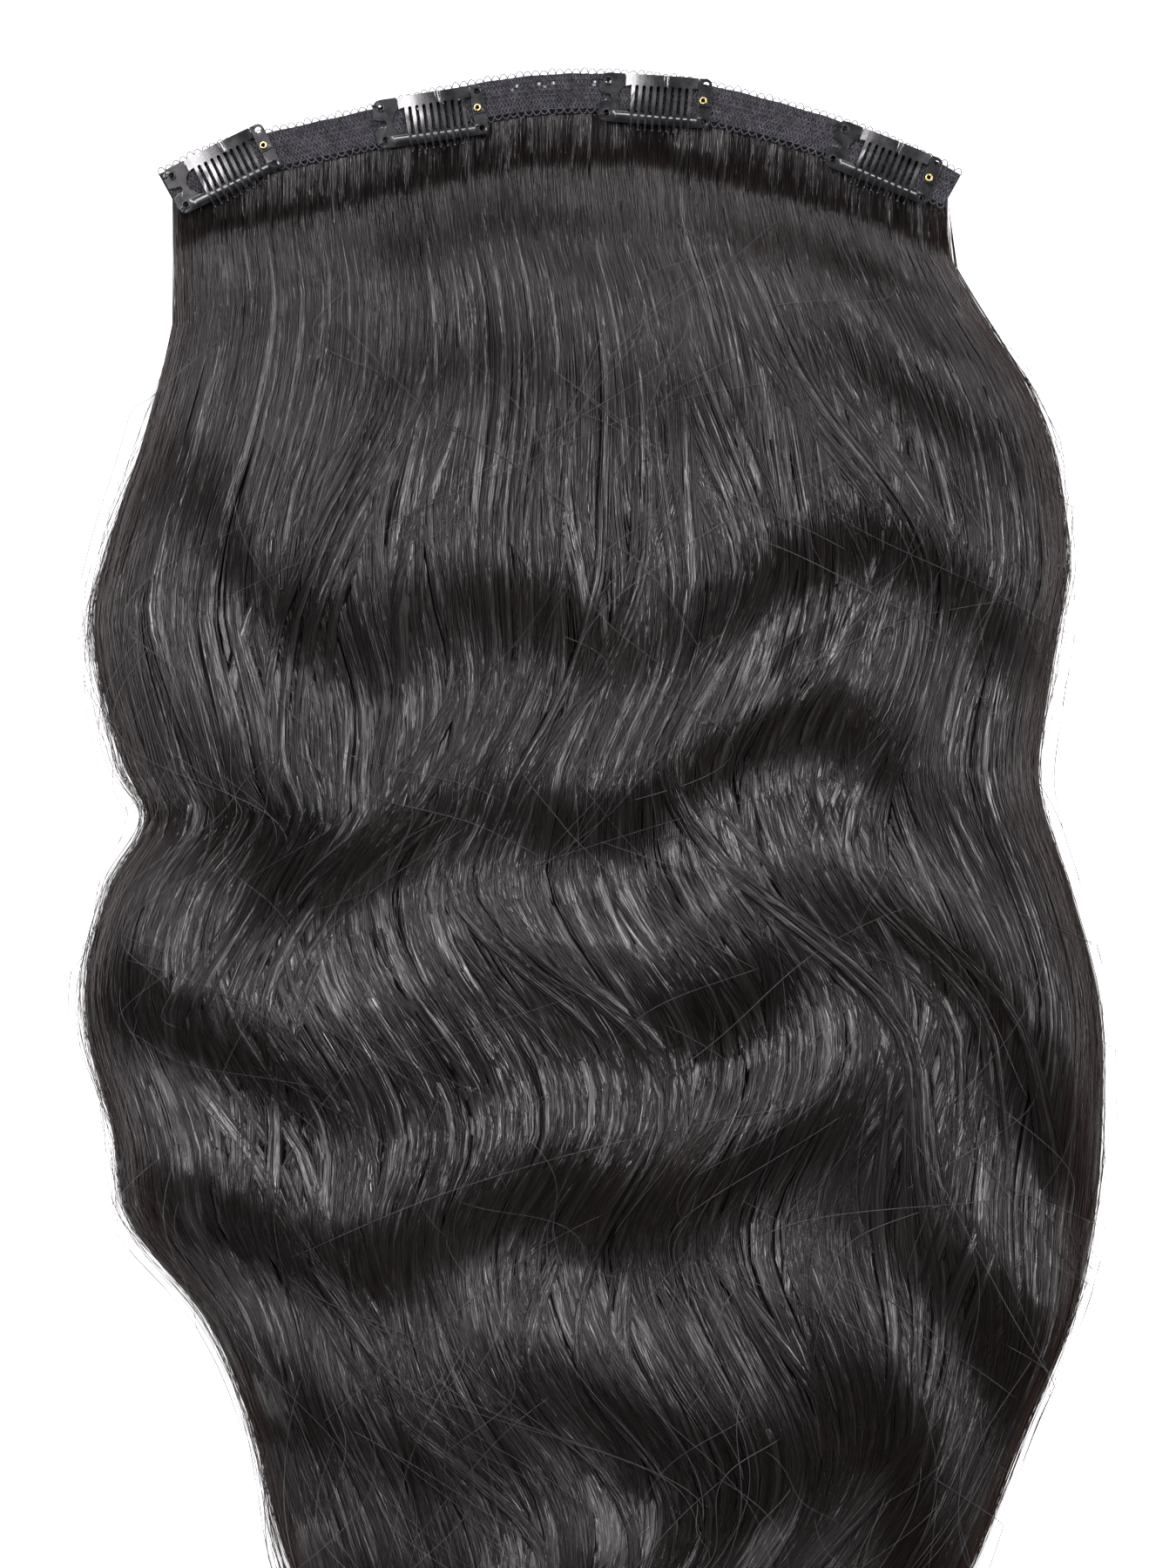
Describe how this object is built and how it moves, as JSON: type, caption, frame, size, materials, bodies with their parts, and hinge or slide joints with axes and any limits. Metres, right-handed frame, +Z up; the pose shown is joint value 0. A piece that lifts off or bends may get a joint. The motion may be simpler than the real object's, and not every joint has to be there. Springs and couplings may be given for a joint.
{
  "type": "clip-in hair extension weft",
  "caption": "Long wavy dark hair weft on a black lace band with snap comb clips sewn along it, laid flat with the clips up.",
  "frame": {"origin": "on the flat underside of the sewn seam, under the middle of the lace band's arc", "axes": "+X to the right along the band, +Y across the band away from the hair's tips, +Z up from the surface through the clips"},
  "size_m": [0.2924, 0.4879, 0.0163],
  "materials": {
    "hair": "glossy human hair, natural black",
    "lace": "matt black elastic lace",
    "clip_steel": "glossy black paint on spring steel",
    "rivet_brass": "polished"
  },
  "bodies": {
    "weft": {"hair": "hair", "lace_band": "lace", "clip_1_frame": "clip_steel", "clip_1_rivet": "rivet_brass", "clip_2_frame": "clip_steel", "clip_2_rivet": "rivet_brass", "clip_3_frame": "clip_steel", "clip_3_rivet": "rivet_brass", "clip_4_frame": "clip_steel", "clip_4_rivet": "rivet_brass"},
    "clip_1_comb_body": {"clip_1_comb": "clip_steel"},
    "clip_2_comb_body": {"clip_2_comb": "clip_steel"},
    "clip_3_comb_body": {"clip_3_comb": "clip_steel"},
    "clip_4_comb_body": {"clip_4_comb": "clip_steel"}
  },
  "joints": [
    {"name": "clip_1_snap", "type": "hinge", "parent": "weft", "child": "clip_1_comb_body", "pos_m": [-0.09778, -0.01406, 0.004], "axis": [-0.895, -0.4461, 0], "range_deg": [0, 45]},
    {"name": "clip_2_snap", "type": "hinge", "parent": "weft", "child": "clip_2_comb_body", "pos_m": [-0.03603, 0.00076, 0.004], "axis": [-0.989, -0.1477, 0], "range_deg": [0, 45]},
    {"name": "clip_3_snap", "type": "hinge", "parent": "weft", "child": "clip_3_comb_body", "pos_m": [0.02957, 0.00524, 0.004], "axis": [-0.9975, 0.0708, 0], "range_deg": [0, 45]},
    {"name": "clip_4_snap", "type": "hinge", "parent": "weft", "child": "clip_4_comb_body", "pos_m": [0.09659, -0.01351, 0.004], "axis": [-0.9271, 0.3747, 0], "range_deg": [0, 45]}
  ]
}
